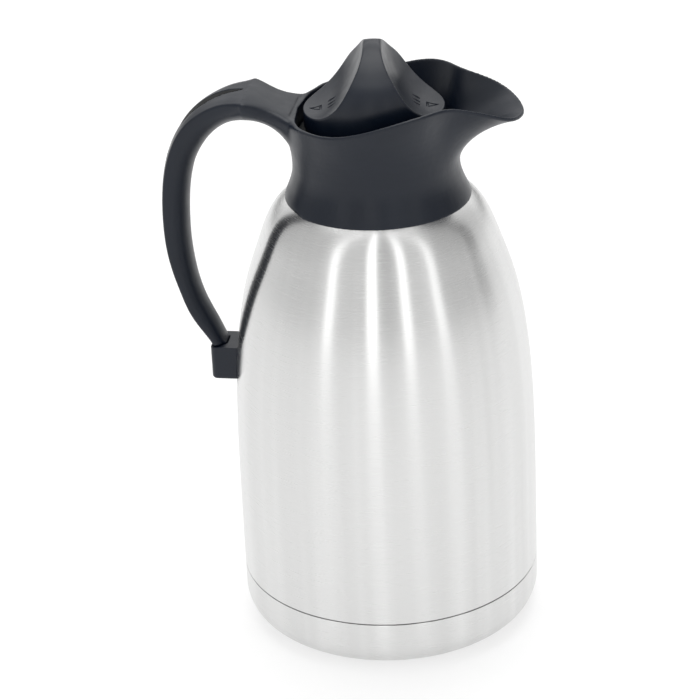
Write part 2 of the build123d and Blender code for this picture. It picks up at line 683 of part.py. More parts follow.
def scoop_face(margin):
    """The saddle of the +X scoop, moved down and towards the ridge by a margin."""
    spread = (SCOOP_END_Y / SCOOP_SIDE_Y) ** 2
    end_poles, middle_poles = [], []
    for (middle_x, middle_z), (side_x, side_z) in zip(SCOOP_MIDDLE, SCOOP_SIDE):
        shift = Vector(-margin, 0, -margin * SCOOP_SINK)
        middle = Vector(middle_x, 0, middle_z)
        end = middle + (Vector(side_x, 0, side_z) - middle) * spread
        end_poles.append(end + shift)
        middle_poles.append(middle * 2 - end + shift)
    reach = Vector(0, SCOOP_END_Y, 0)
    rows = [[pole - reach for pole in end_poles], middle_poles, [pole + reach for pole in end_poles]]
    return Face.make_bezier_surface(rows)


def bell(margin):
    """The grip's outer form, shrunk all round by a margin."""
    stops = inset(list(DOME), margin)
    top_z = GRIP_TOP_Z - margin
    dome = Spline(*[at(*stop) for stop in stops], at(0, top_z), tangents=((0, 0, 1), (-1, 0, 0)))
    foot = GRIP_FOOT_Z - (1.0 if margin > 0 else 0.0)
    first = stops[0]
    solid = turned([dome] + chain((0, top_z), (0, foot), (first[0], foot), first))
    scoop = extrude(scoop_face(margin), BIG, dir=(0, 0, 1))
    return solid - scoop - scoop.mirror(Plane.YZ)


def mark_outline(side):
    """Upright cutter for a triangle that points out along a lobe and three drops behind it."""
    turn = Rot(0, 0, 0 if side > 0 else 180)
    outline = Pos(MARK_X, 0) * (RegularPolygon(MARK_R, 3) - RegularPolygon(MARK_R - 2 * MARK_LINE, 3))
    drop = Circle(DROP_R) + make_face(Polyline((0, DROP_R), (-DROP_TIP, 0), (0, -DROP_R), close=True))
    for i in (-1, 0, 1):
        outline += Pos(DROP_X, i * DROP_STEP) * drop
    return turn * Pos(0, 0, GRIP_FOOT_Z) * extrude(outline, BIG)


def stopper_grip():
    """Hollow moulded grip: a drum with a ridge across it, two scoops and three screw posts."""
    turn = Rot(0, 0, STOPPER_TURN)
    outer = bell(0.0)
    skin = outer - bell(MARK_DEPTH)
    grip = turn * (outer - bell(GRIP_WALL) - (skin & (mark_outline(-1) + mark_outline(1))))
    room = turn * bell(GRIP_WALL / 2)
    for x, y in screw_places():
        grip += rod(POST_R, (x, y, GRIP_FOOT_Z), (x, y, GRIP_TOP_Z)) & room
        grip -= rod(M3_R, (x, y, GRIP_FOOT_Z - 1), (x, y, POST_HOLE_Z))
    return grip


# ---------------------------------------------------------------- output

NODES = (outer_shell, flask_cup, flask_shoulder, flask_neck, vacuum_plate, vacuum_seal, getter, base_cup,
         foot_pad, pour_collar, handle_inlay, lower_bracket, bracket_boss, bracket_screw, handle_screw,
         neck_gasket, neck_ring, stopper_core, stopper_o_ring, stopper_screws, stopper_foam, stopper_cap,
         seal_retainer, seal_disc, seal_gasket, stopper_grip)


def as_one(made):
    """One exportable shape from a solid, a part or a list of either."""
    pieces = made if isinstance(made, list) else [made]
    solids = [solid for piece in pieces for solid in piece.solids()]
    return solids[0] if len(solids) == 1 else Compound(children=solids)


def main():
    os.makedirs("parts", exist_ok=True)
    for make in NODES:
        export_step(as_one(make()), f"parts/{make.__name__}.step")


main()
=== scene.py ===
import json
import math

import bmesh
import bpy
import numpy as np
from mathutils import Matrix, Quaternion, Vector


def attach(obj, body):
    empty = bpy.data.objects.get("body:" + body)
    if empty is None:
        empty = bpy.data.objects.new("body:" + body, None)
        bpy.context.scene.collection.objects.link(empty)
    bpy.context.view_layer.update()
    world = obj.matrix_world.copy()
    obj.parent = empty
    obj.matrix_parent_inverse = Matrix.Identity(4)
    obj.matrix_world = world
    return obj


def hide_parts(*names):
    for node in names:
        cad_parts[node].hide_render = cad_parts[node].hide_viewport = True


# Two litre vacuum carafe. Metres, +Z up, +X towards the spout, the handle on the -X side.
MM = 0.001

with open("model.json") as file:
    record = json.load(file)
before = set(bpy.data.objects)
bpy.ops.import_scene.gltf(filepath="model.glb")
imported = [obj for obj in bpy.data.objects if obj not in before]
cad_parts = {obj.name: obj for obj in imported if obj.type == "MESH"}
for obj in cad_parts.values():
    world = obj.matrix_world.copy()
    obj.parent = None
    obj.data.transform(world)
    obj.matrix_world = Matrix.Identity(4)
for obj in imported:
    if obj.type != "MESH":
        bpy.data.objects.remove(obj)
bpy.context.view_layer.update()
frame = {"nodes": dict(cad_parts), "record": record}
NODES = frame["nodes"]


# ---------------------------------------------------------------- materials

class Shader:
    """A Principled material with small helpers that add and link nodes."""

    def __init__(self, name, **constants):
        self.material = bpy.data.materials.new(name)
        self.material.use_nodes = True
        self.tree = self.material.node_tree
        self.main = self.tree.nodes["Principled BSDF"]
        for socket, value in constants.items():
            self.main.inputs[socket.replace("_", " ")].default_value = value

    def add(self, kind, inputs=None, **settings):
        node = self.tree.nodes.new(kind)
        for name, value in settings.items():
            setattr(node, name, value)
        for socket, value in (inputs or {}).items():
            self.set(node, socket, value)
        return node

    def set(self, node, socket, value):
        """Sets a socket to a constant, or links it to a given output or a node's first output."""
        if isinstance(value, bpy.types.Node):
            value = value.outputs[0]
        if isinstance(value, bpy.types.NodeSocket):
            self.tree.links.new(value, node.inputs[socket])
        else:
            node.inputs[socket].default_value = value

    def math(self, operation, a, b=0.0):
        return self.add("ShaderNodeMath", {0: a, 1: b}, operation=operation)

    def place(self):
        """The point's place in the object's own frame, as x, y and z outputs."""
        coords = self.add("ShaderNodeTexCoord")
        return self.add("ShaderNodeSeparateXYZ", {0: coords.outputs["Object"]})

    def object_point(self):
        return self.add("ShaderNodeTexCoord").outputs["Object"]

    def noise(self, vector, scale, detail=2.0, roughness=0.5):
        return self.add("ShaderNodeTexNoise", {"Vector": vector, "Scale": scale, "Detail": detail,
                                               "Roughness": roughness})

    def ramp(self, value, stops):
        """A colour that runs through the stops, each a place from 0 to 1 and a colour."""
        node = self.add("ShaderNodeValToRGB", {0: value})
        elements = node.color_ramp.elements
        while len(elements) < len(stops):
            elements.new(0.5)
        for element, (at, colour) in zip(elements, stops):
            element.position = at
            element.color = (*colour, 1.0)
        return node

    def span(self, value, low, high, new_low, new_high):
        """Maps one range of a value to another."""
        return self.add("ShaderNodeMapRange", {0: value, 1: low, 2: high, 3: new_low, 4: new_high})

    def blend(self, share, first, second):
        """The first colour going over into the second as the share rises."""
        node = self.add("ShaderNodeMix", data_type="RGBA")
        for socket, value in zip((0, 6, 7), (share, first, second)):
            if isinstance(value, tuple):
                value = (*value, 1.0)
            self.set(node, socket, value)
        return node.outputs[2]

    def bump(self, height, strength, distance):
        inputs = {"Height": height, "Strength": strength, "Distance": distance}
        return self.add("ShaderNodeBump", inputs)

    def drive(self, socket, value):
        self.set(self.main, socket, value)


# brushed steel: rings, and soft upright streaks of painted reflection, by the metre of height and
# the radian of turn, and the metal's colour in the dark and the pale painted streaks
RINGS_UP, RINGS_ROUND = 2600.0, 3.0
STREAK_REFLECTION_UP, STREAK_REFLECTION_ROUND = 1.6, 5.0
STEEL_IN_PAINTED_DARK_STREAK = (0.69, 0.69, 0.685)
STEEL_IN_PAINTED_PALE_STREAK = (0.77, 0.77, 0.765)
SCRATCH_TINT = 0.96
SCRATCH_DEPTH = 0.00004
# how much less and more rough a brushed or moulded finish is here and there than on the whole
SMOOTHER, ROUGHER = 0.04, 0.05


def brushed_steel(name, roughness, grain):
    """Steel brushed round its axis: fine rings, upright streaks of painted reflection in its
    colour, and an upright gloss.
    """
    s = Shader(name, Metallic=1.0, Anisotropic=0.95, Anisotropic_Rotation=0.25)
    place = s.place()
    turn = s.math("ARCTAN2", place.outputs[1], place.outputs[0])
    rings = s.add("ShaderNodeCombineXYZ", {0: s.math("MULTIPLY", turn, RINGS_ROUND),
                                           1: s.math("MULTIPLY", place.outputs[2], RINGS_UP)})
    scratch = s.noise(rings, 1.0, 3.0, 0.65)
    # painted reflection: soft upright streaks that make the metal's colour darker and paler round
    # the body
    streak_place = s.add("ShaderNodeCombineXYZ", {0: s.math("MULTIPLY", turn, STREAK_REFLECTION_ROUND),
                                           1: s.math("MULTIPLY", place.outputs[2], STREAK_REFLECTION_UP)})
    painted_streaks = s.noise(streak_place, 1.0, 2.0, 0.5)
    streaked_colour = s.ramp(painted_streaks, ((0.3, STEEL_IN_PAINTED_DARK_STREAK), (0.7, STEEL_IN_PAINTED_PALE_STREAK)))
    fleck = s.ramp(scratch, ((0.25, (SCRATCH_TINT,) * 3), (0.75, (1.0,) * 3)))
    colour = s.add("ShaderNodeMix", data_type="RGBA", blend_type="MULTIPLY")
    s.set(colour, 0, 1.0)
    s.set(colour, 6, streaked_colour)
    s.set(colour, 7, fleck)
    s.drive("Base Color", colour.outputs[2])
    s.drive("Roughness", s.span(scratch, 0.2, 0.8, roughness - SMOOTHER, roughness + ROUGHER))
    s.drive("Normal", s.bump(scratch, grain, SCRATCH_DEPTH))
    s.drive("Tangent", s.add("ShaderNodeTangent", direction_type="RADIAL", axis="Z"))
    return s.material


# plain steel: spots to the metre, and two tints of the metal
CLOUD = 60.0
SHEET_DARK = (0.52, 0.52, 0.515)
SHEET_PALE = (0.66, 0.66, 0.65)
ROLL_MARKS = 900.0
ROLL_DEPTH = 0.00005
SHEET_SMOOTHER, SHEET_ROUGHER = 0.06, 0.08


def plain_steel(name, roughness):
    """Rolled sheet and turned screws that aren't brushed."""
    s = Shader(name, Metallic=1.0)
    cloud = s.noise(s.object_point(), CLOUD, 3.0)
    s.drive("Base Color", s.ramp(cloud, ((0.3, SHEET_DARK), (0.7, SHEET_PALE))))
    smooth, rough = roughness - SHEET_SMOOTHER, roughness + SHEET_ROUGHER
    s.drive("Roughness", s.span(cloud, 0.2, 0.8, smooth, rough))
    s.drive("Normal", s.bump(s.noise(s.object_point(), ROLL_MARKS, 2.0), 0.15, ROLL_DEPTH))
    return s.material


# plastic: spots to the metre of the colour's drift, of the gloss's patches and of the moulded grain
DRIFT = 22.0
GLOSS_PATCHES = 140.0
GRAIN = 2600.0
GRAIN_DEPTH = 0.00006
# the colour's drift, as shares of the colour
DARKER, PALER = 0.90, 1.10
# how far an edge has to stand out to look worn, how much of it does, and how much paler it then is
WORN_FROM, WORN_FULL = 0.53, 0.62
WORN_SHARE = 0.35
WORN_GAIN, WORN_LIFT = 1.6, 0.004


def moulded(name, colour, roughness, texture, ior=1.42):
    """Satin plastic or rubber: fine moulded grain, slow colour drift and edges rubbed pale."""
    s = Shader(name, IOR=ior)
    point = s.object_point()
    drift = s.noise(point, DRIFT, 3.0)
    grain = s.noise(point, GRAIN, 2.0, 0.6)
    low = tuple(DARKER * c for c in colour)
    high = tuple(PALER * c for c in colour)
    base = s.ramp(drift, ((0.3, low), (0.7, high)))
    worn = tuple(min(1.0, WORN_GAIN * c + WORN_LIFT) for c in colour)
    pointed = s.add("ShaderNodeNewGeometry").outputs["Pointiness"]
    edge = s.span(pointed, WORN_FROM, WORN_FULL, 0.0, WORN_SHARE)
    s.drive("Base Color", s.blend(edge, base, worn))
    patches = s.noise(point, GLOSS_PATCHES, 4.0)
    s.drive("Roughness", s.span(patches, 0.25, 0.75, roughness - SMOOTHER, roughness + ROUGHER))
    s.drive("Normal", s.bump(grain, texture, GRAIN_DEPTH))
    return s.material


# colour, roughness, grain and refraction of each material slot
SLATE = (0.0024, 0.0058, 0.0138)
FINISH = {
    "steel": brushed_steel("brushed_steel", 0.25, 0.035),
    "bare_steel": plain_steel("bare_steel", 0.32),
    "seal_metal": plain_steel("seal_metal", 0.45),
    "getter_metal": plain_steel("getter_metal", 0.55),
    "black_plastic": moulded("slate_plastic", SLATE, 0.35, 0.10),
    "inner_plastic": moulded("inner_plastic", (0.008, 0.009, 0.010), 0.5, 0.2, 1.28),
    "soft_inlay": moulded("soft_inlay", (0.004, 0.0045, 0.005), 0.62, 0.3, 1.25),
    "pad_rubber": moulded("pad_rubber", (0.018, 0.018, 0.019), 0.75, 0.6),
    "silicone": moulded("silicone", (0.42, 0.42, 0.40), 0.5, 0.15),
    "foam": moulded("foam", (0.72, 0.70, 0.62), 0.9, 0.9),
    "screw_steel": plain_steel("screw_steel", 0.3),
}


def finish_cad_nodes():
    """Every CAD node that stays gets its finish; the replaced ones are hidden later."""
    for entry in frame["record"]["subparts"]:
        node = NODES[entry["node"]]
        node.data.materials.clear()
        node.data.materials.append(FINISH[entry["material_slot"]])


# ---------------------------------------------------------------- mesh helpers

# vertices closer than this, in metres, are one
WELD = 1e-6
# turn of an outline, in degrees, from which its corner is rounded
CORNER = 20
# points on a rounded corner, and how much of either side it may take
ROUND_STEPS = 5
CUT_SHARE = 0.45
# points along the shell's outline, and round the body
OUTLINE_POINTS = 150
BODY_SEGMENTS = 320


def new_mesh(name, points, faces):
    mesh = bpy.data.meshes.new(name)
    mesh.from_pydata([tuple(p) for p in points], [], faces)
    mesh.validate()
    mesh.update()
    return mesh


def new_piece(name, mesh, slot, body, *replaced, sharp=None):
    """A smooth shaded piece that rides on a body and stands for CAD nodes."""
    piece = bpy.data.objects.new(name, mesh)
    bpy.context.scene.collection.objects.link(piece)
    mesh.materials.clear()
    mesh.materials.append(FINISH[slot])
    mesh.polygons.foreach_set("use_smooth", np.ones(len(mesh.polygons), bool))
    if sharp is not None:
        mesh.set_sharp_from_angle(angle=math.radians(sharp))
    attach(piece, body)
    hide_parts(*replaced)
    return piece


def spline(stops, count, first, last):
    """Points along a cubic spline through stops, with unit tangents at its ends."""
    p = np.array(stops, float)
    h = np.linalg.norm(np.diff(p, axis=0), axis=1)
    t = np.concatenate([[0.0], np.cumsum(h)])
    n = len(p)
    a, b = np.zeros((n, n)), np.zeros_like(p)
    for i in range(1, n - 1):
        a[i, i - 1], a[i, i], a[i, i + 1] = 1 / h[i - 1], 2 / h[i - 1] + 2 / h[i], 1 / h[i]
        b[i] = 3 * ((p[i] - p[i - 1]) / h[i - 1] ** 2 + (p[i + 1] - p[i]) / h[i] ** 2)
    a[0, 0], b[0] = 1.0, first
    a[-1, -1], b[-1] = 1.0, last
    m = np.linalg.solve(a, b)
    at = np.linspace(0, t[-1], count)
    i = np.clip(np.searchsorted(t, at, side="right") - 1, 0, n - 2)
    u = ((at - t[i]) / h[i])[:, None]
    span = h[i][:, None]
    return ((1 + 2 * u) * (1 - u) ** 2 * p[i] + u * (1 - u) ** 2 * span * m[i]
            + u * u * (3 - 2 * u) * p[i + 1] + u * u * (u - 1) * span * m[i + 1])


def rounded(outline, radius):
    """A closed radius and height outline with its sharp corners rounded."""
    p = np.array(outline, float)
    made = []
    for i, corner in enumerate(p):
        back, ahead = p[i - 1] - corner, p[(i + 1) % len(p)] - corner
        a, b = np.linalg.norm(back), np.linalg.norm(ahead)
        turn = math.pi - math.acos(np.clip(back @ ahead / (a * b), -1, 1))
        if turn < math.radians(CORNER) or corner[0] < WELD:
            made.append(corner)
            continue
        cut = min(radius * math.tan(turn / 2), CUT_SHARE * a, CUT_SHARE * b)
        start, end = corner + back / a * cut, corner + ahead / b * cut
        for u in np.linspace(0, 1, ROUND_STEPS):
            made.append((1 - u) ** 2 * start + 2 * u * (1 - u) * corner + u * u * end)
    return np.array(made)


def revolved(name, outline):
    """Closed mesh of a closed radius and height outline in millimetres, turned about Z."""
    turn = np.arange(BODY_SEGMENTS) * 2 * math.pi / BODY_SEGMENTS
    r, z = outline[:, 0] * MM, outline[:, 1] * MM
    heights = np.tile(z, (BODY_SEGMENTS, 1))
    points = np.stack([np.outer(np.cos(turn), r), np.outer(np.sin(turn), r), heights], -1)
    rings = len(outline)
    faces = []
    for s in range(BODY_SEGMENTS):
        near, far = s * rings, (s + 1) % BODY_SEGMENTS * rings
        for k in range(rings):
            after = (k + 1) % rings
            faces.append((near + k, far + k, far + after, near + after))
    mesh = new_mesh(name, points.reshape(-1, 3), faces)
    shape = bmesh.new()
    shape.from_mesh(mesh)
    bmesh.ops.remove_doubles(shape, verts=shape.verts, dist=WELD)
    bmesh.ops.recalc_face_normals(shape, faces=shape.faces)
    shape.to_mesh(mesh)
    shape.free()
    return mesh


def welded_copy(node):
    """A copy of a CAD node's mesh with its faces joined along their edges."""
    mesh = NODES[node].data.copy()
    shape = bmesh.new()
    shape.from_mesh(mesh)
    bmesh.ops.remove_doubles(shape, verts=shape.verts, dist=WELD)
    shape.to_mesh(mesh)
    shape.free()
    return mesh


def joined(first, second):
    """One mesh that holds both shapes."""
    shape = bmesh.new()
    shape.from_mesh(first)
    shape.from_mesh(second)
    shape.to_mesh(first)
    shape.free()
    return first


def remeshed(node, voxel, extra=None):
    """An even quad skin over a CAD node's shape, and over an extra mesh that it runs into."""
    source = welded_copy(node)
    if extra is not None:
        source = joined(source, extra)
    carrier = bpy.data.objects.new("carrier", source)
    bpy.context.scene.collection.objects.link(carrier)
    skin = carrier.modifiers.new("skin", "REMESH")
    skin.mode = "VOXEL"
    skin.voxel_size = voxel * MM
    graph = bpy.context.evaluated_depsgraph_get()
    mesh = bpy.data.meshes.new_from_object(carrier.evaluated_get(graph))
    bpy.data.objects.remove(carrier)
    return mesh


def positions(mesh):
    """The vertices in millimetres."""
    flat = np.empty(len(mesh.vertices) * 3)
    mesh.vertices.foreach_get("co", flat)
    return flat.reshape(-1, 3) / MM


def set_positions(mesh, points):
    mesh.vertices.foreach_set("co", (points * MM).ravel())
    mesh.update()


def relaxed(mesh, points, passes, share, regrow=0.0):
    """Points moved towards their neighbours' mean, and back out by regrow to keep the volume."""
    edges = np.empty(len(mesh.edges) * 2, int)
    mesh.edges.foreach_get("vertices", edges)
    a, b = edges.reshape(-1, 2).T
    count = len(points)
    degree = np.bincount(a, minlength=count) + np.bincount(b, minlength=count)
    share = np.broadcast_to(np.asarray(share, float), (count,))[:, None]

    def pull(p):
        total = [np.bincount(a, p[b, k], count) + np.bincount(b, p[a, k], count) for k in range(3)]
        return np.stack(total, 1) / degree[:, None] - p

    for _ in range(passes):
        points = points + share * pull(points)
        if regrow:
            points = points - share * (1 + regrow) * pull(points)
    return points


def ease(value, low, high):
    """Smooth step from 0 at low to 1 at high."""
    u = np.clip((value - low) / (high - low), 0, 1)
    return u * u * (3 - 2 * u)


# ---------------------------------------------------------------- body

# sizes in millimetres, as in the CAD part; the outer shell's stops are radius and height
STEEL = 0.8
SEAM_Z = 27.6
SEAM_GAP = 0.5
BODY_R = 75.0
JOGGLE_R = 73.8
SHELL_FOOT_Z = 12.0
NECK_R = 36.6
NECK_TOP_Z = 254.2
SHELL_STOPS = ((75.0, 28.1), (75.0, 45.0), (74.9, 70.0), (74.6, 99.0), (73.4, 130.0), (70.6, 158.0),
               (65.8, 182.0), (58.7, 203.0), (45.5, 225.0), (38.8, 229.6), (36.6, 236.0))
BASE_CORNER = 14.0
BASE_RIM_Z = 1.2
PAD_R = 57.0
PAD_H = 4.0
PAD_GAP = 0.4
PAD_WALL = 0.6
ROUND_STEEL = 0.3
# angle in degrees from which an edge is shaded as an edge
STEEL_SHARP = 50
# steps round the base's corner; the inside of the shell keeps one outline point in so many
CORNER_STEPS = 24
INSIDE_STEP = 6


def outer_shell():
    """The body's wall, from its stepped-in foot up to the rim of its neck."""
    upright = (0.0, 1.0)
    outer = spline(SHELL_STOPS, OUTLINE_POINTS, upright, upright)
    inner = outer - (STEEL, 0)
    lip = SEAM_Z + SEAM_GAP
    inner_r = JOGGLE_R - STEEL
    foot = np.array([(inner_r, SHELL_FOOT_Z), (JOGGLE_R, SHELL_FOOT_Z), (JOGGLE_R, lip)])
    neck = np.array([(NECK_R, NECK_TOP_Z), (NECK_R - STEEL, NECK_TOP_Z)])
    back = np.array([(inner_r, lip + STEEL)])
    outline = np.concatenate([foot, outer, neck, inner[:0:-INSIDE_STEP], back])
    outline = rounded(outline, ROUND_STEEL)
    mesh = revolved("body_shell", outline)
    return new_piece("body_shell", mesh, "steel", "root", "outer_shell", sharp=STEEL_SHARP)


def base_cup():
    """The cup below the seam, with a round corner and a recess for the pad."""
    foot_r = BODY_R - BASE_CORNER
    edge_r = PAD_R + PAD_GAP
    wall_r = edge_r + PAD_WALL
    outer = [(0.0, PAD_H), (edge_r, PAD_H), (wall_r, BASE_RIM_Z)]
    inner = [(0.0, PAD_H + STEEL), (wall_r, PAD_H + STEEL), (wall_r + PAD_WALL, BASE_RIM_Z + STEEL)]
    for angle in np.radians(np.linspace(0, 90, CORNER_STEPS)):
        across, up = math.sin(angle), 1 - math.cos(angle)
        outer.append((foot_r + BASE_CORNER * across, BASE_RIM_Z + BASE_CORNER * up))
        radius = BASE_CORNER - STEEL
        inner.append((foot_r + radius * across, BASE_RIM_Z + STEEL + radius * up))
    outer.append((BODY_R, SEAM_Z))
    inner.append((BODY_R - STEEL, SEAM_Z))
    outline = rounded(outer + inner[::-1], ROUND_STEEL)
    mesh = revolved("base_cup_skin", outline)
    return new_piece("base_cup_skin", mesh, "steel", "root", "base_cup", sharp=STEEL_SHARP)


# ---------------------------------------------------------------- collar, handle and bracket

# size of a skin's quads for each moulded node
COLLAR_QUAD = 0.6
INLAY_QUAD = 0.4
BRACKET_QUAD = 0.45
# softening of the skins: share of the way to the neighbours' mean, passes, and the share by which
# they grow back further than they shrank
PULL = 0.5
COLLAR_PASSES, COLLAR_REGROW = 4, 0.04
SMALL_PASSES, SMALL_REGROW = 3, 0.03
# outline that carries the collar's foot on into the shell, which then cuts it in a clean line
COLLAR_ROOT = ((44.9, 226.6), (45.66, 224.6), (44.5, 224.2), (41.0, 227.0), (41.0, 230.0))
# where the tongue's root is softened: over -X, X and the radius, each from none to full
ROOT_FROM_SPOUT = (30, 38)
ROOT_FROM_GRIP = (-62, -48)
ROOT_FROM_AXIS = (40.5, 43)
ROOT_PASSES = 90


def pour_collar():
    """The moulding with soft edges, and with the tongue's root flowing into the collar."""
    root_ring = revolved("collar_root", np.array(COLLAR_ROOT))
    mesh = remeshed("pour_collar", COLLAR_QUAD, root_ring)
    points = relaxed(mesh, positions(mesh), COLLAR_PASSES, PULL, COLLAR_REGROW)
    x, radius = points[:, 0], np.hypot(points[:, 0], points[:, 1])
    root = ease(-x, *ROOT_FROM_SPOUT) * ease(x, *ROOT_FROM_GRIP) * ease(radius, *ROOT_FROM_AXIS)
    points = relaxed(mesh, points, ROOT_PASSES, PULL * root)
    set_positions(mesh, points)
    return new_piece("collar_and_handle", mesh, "black_plastic", "root", "pour_collar")


def softened(name, node, quad, slot):
    """A small moulding of the body with softened edges."""
    mesh = remeshed(node, quad)
    set_positions(mesh, relaxed(mesh, positions(mesh), SMALL_PASSES, PULL, SMALL_REGROW))
    return new_piece(name, mesh, slot, "root", node)


# ---------------------------------------------------------------- stopper grip

# millimetres; the dome's stops are radius and height
GRIP_FOOT_Z = 262.6
GRIP_TOP_Z = 301.9
STOPPER_TURN = math.radians(7.5)
DOME = ((33.7, 264.0), (33.7, 272.0), (33.5, 279.5), (31.1, 285.8), (25.4, 291.1), (18.9, 295.8),
        (11.2, 299.7), (0.0, GRIP_TOP_Z))
# poles of a scoop's floor, as distance from the ridge and height, in its middle and SCOOP_SIDE_Y
# to either side of it
SCOOP_MIDDLE = ((4.5, 303.0), (4.8, 287.6), (19.3, 260.9), (37.0, 272.4))
SCOOP_SIDE = ((3.5, 303.0), (7.3, 300.0), (14.0, 262.8), (37.0, 275.1))
SCOOP_SIDE_Y = 24.0
HALVINGS = 26
EDGE_BLEND = 1.1
RIM_ROUND = 0.7
# the edges grow rounder towards the crest, between these heights
CREST = (290.0, GRIP_TOP_Z - 2)
CREST_ROUND = 1.7
# marks on each lobe: a triangle of radius MARK_R and a row of drops nearer the ridge
MARK_X = 27.0
MARK_R = 3.2
LINE_HALF = 0.42
DROP_X = 20.7
DROP_R = 1.1
DROP_TIP = 2.6
DROP_STEP = 4.4
MARK_DEPTH = 0.6
MARK_EDGE = 0.12
DROP_CIRCLES = 9
# radii over which the marks fade out towards the drum's wall
WALL_FADE = (31.8, 32.6)
# the mesh: rings from foot to crown, with more of them where the marks are, and columns round it
RINGS = 180
MARKS_FROM = (0.12, 0.17)
MARKS_TO = (0.40, 0.45)
EXTRA_RINGS = 1.3
DOME_POINTS = 700
PATH_POINTS = 900
PLACE_POINTS = 400
# nearer to the axis than this, the ridge's top runs over its middle uncut
AXIS_CLEAR = 0.5
# a distance beyond everything, and the angle in degrees from which an edge is shaded as an edge
FAR = 1e3
GRIP_SHARP = 60
LOBE_HALF = 17
LOBE_COLUMNS = 120
SIDE_COLUMNS = 145


def scoop_height(x, y):
    """Height of a scoop's floor at points given from the ridge's middle and along the ridge."""
    share = (y / SCOOP_SIDE_Y)[:, None, None] ** 2
    middle, side = np.array(SCOOP_MIDDLE), np.array(SCOOP_SIDE)
    poles = middle + share * (side - middle)

    def at(t):
        weights = np.stack([(1 - t) ** 3, 3 * t * (1 - t) ** 2, 3 * t * t * (1 - t), t ** 3], -1)
        return (weights[:, :, None] * poles).sum(axis=1)

    low, high = np.zeros_like(x), np.ones_like(x)
    for _ in range(HALVINGS):
        half = (low + high) / 2
        short = at(half)[:, 0] < x
        low, high = np.where(short, half, low), np.where(short, high, half)
    start, step = poles[:, 0], poles[:, 1] - poles[:, 0]
    above = start[:, 1] + step[:, 1] / step[:, 0] * (x - start[:, 0])
    return np.where(x < start[:, 0], above, at(low)[:, 1])


def soft_min(a, b, width):
    """The lower of two heights, with their crossing rounded."""
    near = np.clip(1 - np.abs(a - b) / width, 0, 1)
    return np.minimum(a, b) - near * near * width / 4


def grip_angles():
    """Turns round the stopper, closer together across the two lobes that carry the marks."""
    lobe = np.radians(np.linspace(-LOBE_HALF, LOBE_HALF, LOBE_COLUMNS + 1)[:-1])
    side = np.radians(np.linspace(LOBE_HALF, 180 - LOBE_HALF, SIDE_COLUMNS + 1)[:-1])
    return np.concatenate([lobe, side, lobe + math.pi, side + math.pi])


def ring_places():
    """Shares of the way from the foot to the crown, closer together where the marks are."""
    fine = np.linspace(0, 1, PLACE_POINTS)
    density = 1 + EXTRA_RINGS * ease(fine, *MARKS_FROM) * (1 - ease(fine, *MARKS_TO))
    share = np.cumsum(density)
    share = (share - share[0]) / (share[-1] - share[0])
    return np.interp(np.linspace(0, 1, RINGS + 1), share, fine)


def smoothed(path, width):
    """The outline averaged over that many steps, held at the foot, mirrored at the crown."""
    reach = int(3 * width)
    weight = np.exp(-0.5 * (np.arange(-reach, reach + 1) / width) ** 2)
    before = 2 * path[0] - path[reach:0:-1]
    after = path[-2:-reach - 2:-1] * (-1, 1)
    longer = np.concatenate([before, path, after])
    return np.stack([np.convolve(longer[:, k], weight / weight.sum(), "valid") for k in (0, 1)], 1)


def meridian(angle, dome):
    """The grip's outline at one turn, from the foot of the drum to the crown."""
    r, z = dome.T
    floor = scoop_height(r * abs(math.cos(angle)), r * math.sin(angle))
    z = np.where(r > AXIS_CLEAR, soft_min(z, floor, EDGE_BLEND), z)
    path = np.stack([r, z], 1)
    step = np.linalg.norm(np.diff(path, axis=0), axis=1)
    along = np.concatenate([[0.0], np.cumsum(step)])
    fine = np.linspace(0, along[-1], PATH_POINTS)
    path = np.stack([np.interp(fine, along, path[:, k]) for k in (0, 1)], 1)
    crest = ease(path[:, 1:], *CREST)
    narrow, wide = smoothed(path, RIM_ROUND / fine[1]), smoothed(path, CREST_ROUND / fine[1])
    path = (1 - crest) * narrow + crest * wide
    pick = ring_places() * (len(path) - 1)
    return np.stack([np.interp(pick, np.arange(len(path)), path[:, k]) for k in (0, 1)], 1)


def line_distance(point, a, b):
    """Distance to the straight line from a to b."""
    share = np.clip((point - a) @ (b - a) / ((b - a) @ (b - a)), 0, 1)
    return np.linalg.norm(point - a - share[..., None] * (b - a), axis=-1)


def drop_distance(point, centre):
    """Distance outside a drop whose point looks towards the ridge."""
    nearest = np.full(point.shape[:-1], FAR)
    for share in np.linspace(0, 1, DROP_CIRCLES):
        middle = centre - (DROP_TIP * share, 0.0)
        outside = np.linalg.norm(point - middle, axis=-1) - DROP_R * (1 - share)
        nearest = np.minimum(nearest, outside)
    return nearest


def engraving(x, y):
    """Depth of the marks over the plan, from 0 to 1: a triangle and three drops behind it."""
    point = np.stack([np.abs(x), y * np.sign(x)], -1)
    corners = []
    for turn in np.radians((0, 120, 240)):
        corners.append(np.array((MARK_X + MARK_R * math.cos(turn), MARK_R * math.sin(turn))))
    outside = np.full(x.shape, FAR)
    for a, b in zip(corners, corners[1:] + corners[:1]):
        outside = np.minimum(outside, line_distance(point, a, b) - LINE_HALF)
    for i in (-1, 0, 1):
        outside = np.minimum(outside, drop_distance(point, np.array((DROP_X, i * DROP_STEP))))
    return ease(-outside, -MARK_EDGE, MARK_EDGE)


